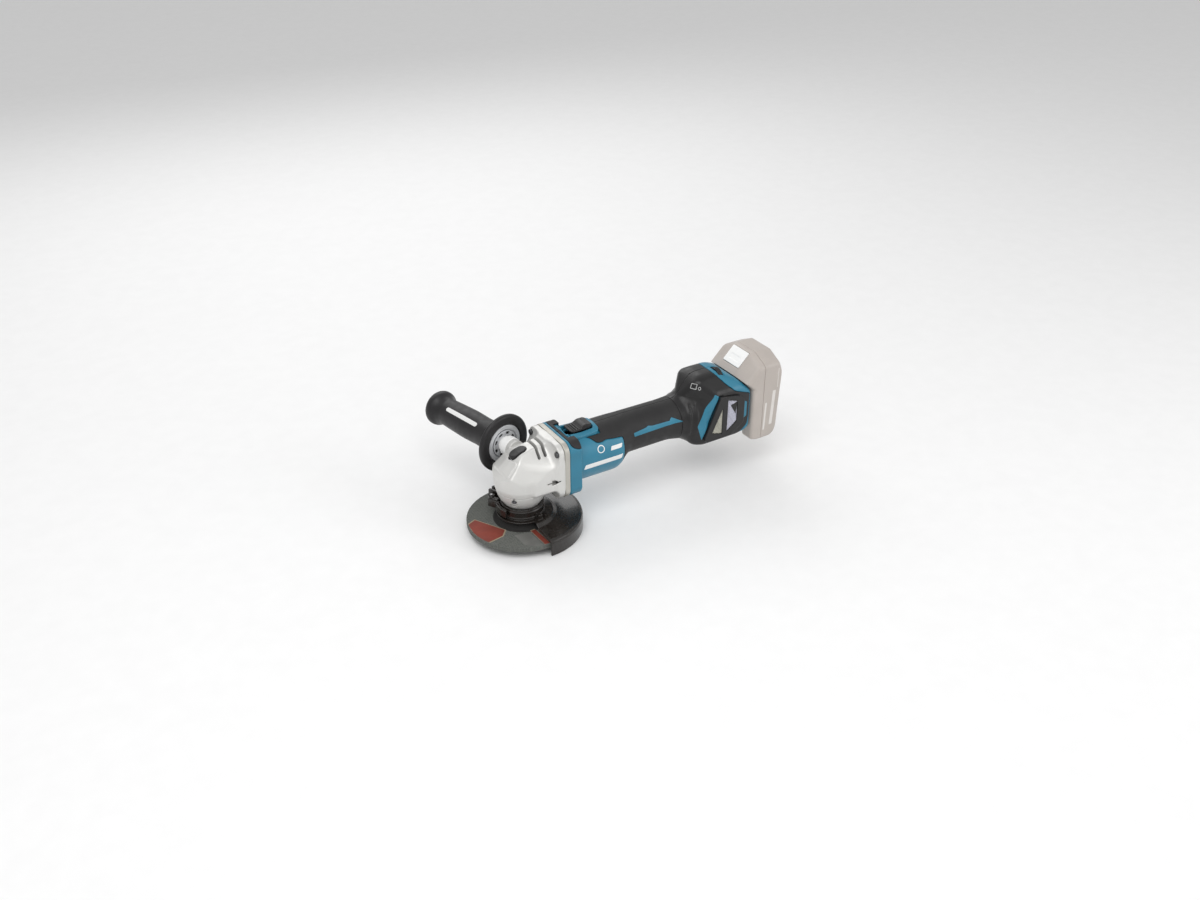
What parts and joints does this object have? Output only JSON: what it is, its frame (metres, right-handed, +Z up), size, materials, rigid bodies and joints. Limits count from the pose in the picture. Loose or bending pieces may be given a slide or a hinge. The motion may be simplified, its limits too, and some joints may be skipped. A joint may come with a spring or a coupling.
{
  "type": "angle grinder",
  "caption": "Cordless angle grinder with a guarded grinding wheel, bevel gear head, slide switch, side handle and slide-on battery.",
  "frame": {"origin": "centre of the spindle's lower end face", "axes": "+X back along the tool towards the battery, +Y towards the side handle, +Z up along the spindle"},
  "size_m": [0.393, 0.2269, 0.145],
  "materials": {
    "cast_silver": "satin silver paint on die-cast metal",
    "cover_silver": "bare die-cast face",
    "handle_plate": "brushed plate",
    "screw_steel": "dark oxide",
    "bearing_steel": "ground",
    "shaft_steel": "machined",
    "nut_steel": "dark oxide",
    "abrasive": "bonded grit",
    "core_iron": "laminated iron",
    "stator_copper": "iron ring with copper windings",
    "contact_metal": "plated",
    "teal_plastic": "satin teal",
    "grip_rubber": "soft matt",
    "black_plastic": "fine texture",
    "controller_case": "heat sink",
    "guard_black": "gloss black",
    "white_plastic": "satin",
    "battery_plastic": "pale warm grey",
    "cell_wrap": "shrink wrap"
  },
  "bodies": {
    "tool": {"gear_housing": "cast_silver", "gear_housing_cover": "cover_silver", "bearing_box": "cast_silver", "bearing_box_screw_1": "screw_steel", "bearing_box_screw_2": "screw_steel", "bearing_box_screw_3": "screw_steel", "bearing_box_screw_4": "screw_steel", "gear_housing_screw_1": "screw_steel", "gear_housing_screw_2": "screw_steel", "gear_housing_screw_3": "screw_steel", "gear_housing_screw_4": "screw_steel", "needle_bearing": "bearing_steel", "spindle_bearing": "bearing_steel", "pinion_bearing": "bearing_steel", "rotor_bearing": "bearing_steel", "stator": "stator_copper", "housing_left": "teal_plastic", "housing_right": "teal_plastic", "grip_left": "grip_rubber", "grip_right": "grip_rubber", "shroud_left": "black_plastic", "shroud_right": "black_plastic", "dust_cover_left": "black_plastic", "dust_cover_right": "black_plastic", "housing_screw_1": "screw_steel", "housing_screw_2": "screw_steel", "housing_screw_3": "screw_steel", "switch_bezel": "teal_plastic", "switch_unit": "black_plastic", "controller": "controller_case", "terminal_block": "black_plastic", "terminal_plus": "contact_metal", "terminal_minus": "contact_metal", "handle_bolt": "shaft_steel", "handle_spacer": "white_plastic", "handle_ring": "handle_plate", "handle_grip": "grip_rubber"},
    "spindle_set": {"spindle": "shaft_steel", "bevel_gear": "shaft_steel", "inner_flange": "shaft_steel", "grinding_wheel": "abrasive", "lock_nut": "nut_steel"},
    "rotor": {"rotor_shaft": "shaft_steel", "rotor_core": "core_iron", "pinion": "shaft_steel", "fan": "black_plastic"},
    "shaft_lock": {"lock_button": "black_plastic", "lock_pin": "shaft_steel", "lock_spring": "shaft_steel"},
    "slide_switch": {"slide_button": "black_plastic", "slide_rod": "black_plastic"},
    "wheel_guard": {"guard": "guard_black", "clamp_screw": "screw_steel", "lever_pin": "screw_steel"},
    "guard_lever": {"clamp_lever": "guard_black"},
    "speed_wheel": {"speed_dial": "black_plastic"},
    "battery": {"battery_case": "battery_plastic", "battery_cover": "battery_plastic", "cell_pack": "cell_wrap"},
    "battery_release": {"battery_button": "white_plastic"}
  },
  "joints": [
    {"name": "spindle_spin", "type": "hinge", "parent": "tool", "child": "spindle_set", "pos_m": [0, 0, 0.03], "axis": [0, 0, 1], "continuous": true},
    {"name": "rotor_spin", "type": "hinge", "parent": "tool", "child": "rotor", "pos_m": [0.08, 0, 0.066], "axis": [1, 0, 0], "continuous": true},
    {"name": "shaft_lock_press", "type": "slide", "parent": "tool", "child": "shaft_lock", "axis": [0, 0, -1], "range_m": [0, 0.004], "stiffness_N_per_m": 1200, "springref_m": -0.002, "deforming": ["lock_spring"]},
    {"name": "slide_switch_travel", "type": "slide", "parent": "tool", "child": "slide_switch", "axis": [-1, 0, 0], "range_m": [0, 0.006], "stiffness_N_per_m": 700, "springref_m": -0.004},
    {"name": "guard_turn", "type": "hinge", "parent": "tool", "child": "wheel_guard", "pos_m": [0, 0, 0.02], "axis": [0, 0, 1], "range_deg": [-75, 105]},
    {"name": "guard_lever_swing", "type": "hinge", "parent": "wheel_guard", "child": "guard_lever", "pos_m": [-0.02531, 0.02465, 0.0236], "axis": [0, 0, -1], "range_deg": [0, 100]},
    {"name": "speed_dial_turn", "type": "hinge", "parent": "tool", "child": "speed_wheel", "pos_m": [0.2535, -0.008, 0.115], "axis": [1, 0, 0], "range_deg": [0, 270]},
    {"name": "battery_slide", "type": "slide", "parent": "tool", "child": "battery", "axis": [0, 0, 1], "range_m": [0, 0.08]},
    {"name": "battery_release_press", "type": "slide", "parent": "battery", "child": "battery_release", "axis": [0.7071, 0, -0.7071], "range_m": [0, 0.003], "stiffness_N_per_m": 1500, "springref_m": -0.002}
  ],
  "couplings": [
    {"joint": "rotor_spin", "follows": "spindle_spin", "ratio": 3.3}
  ]
}
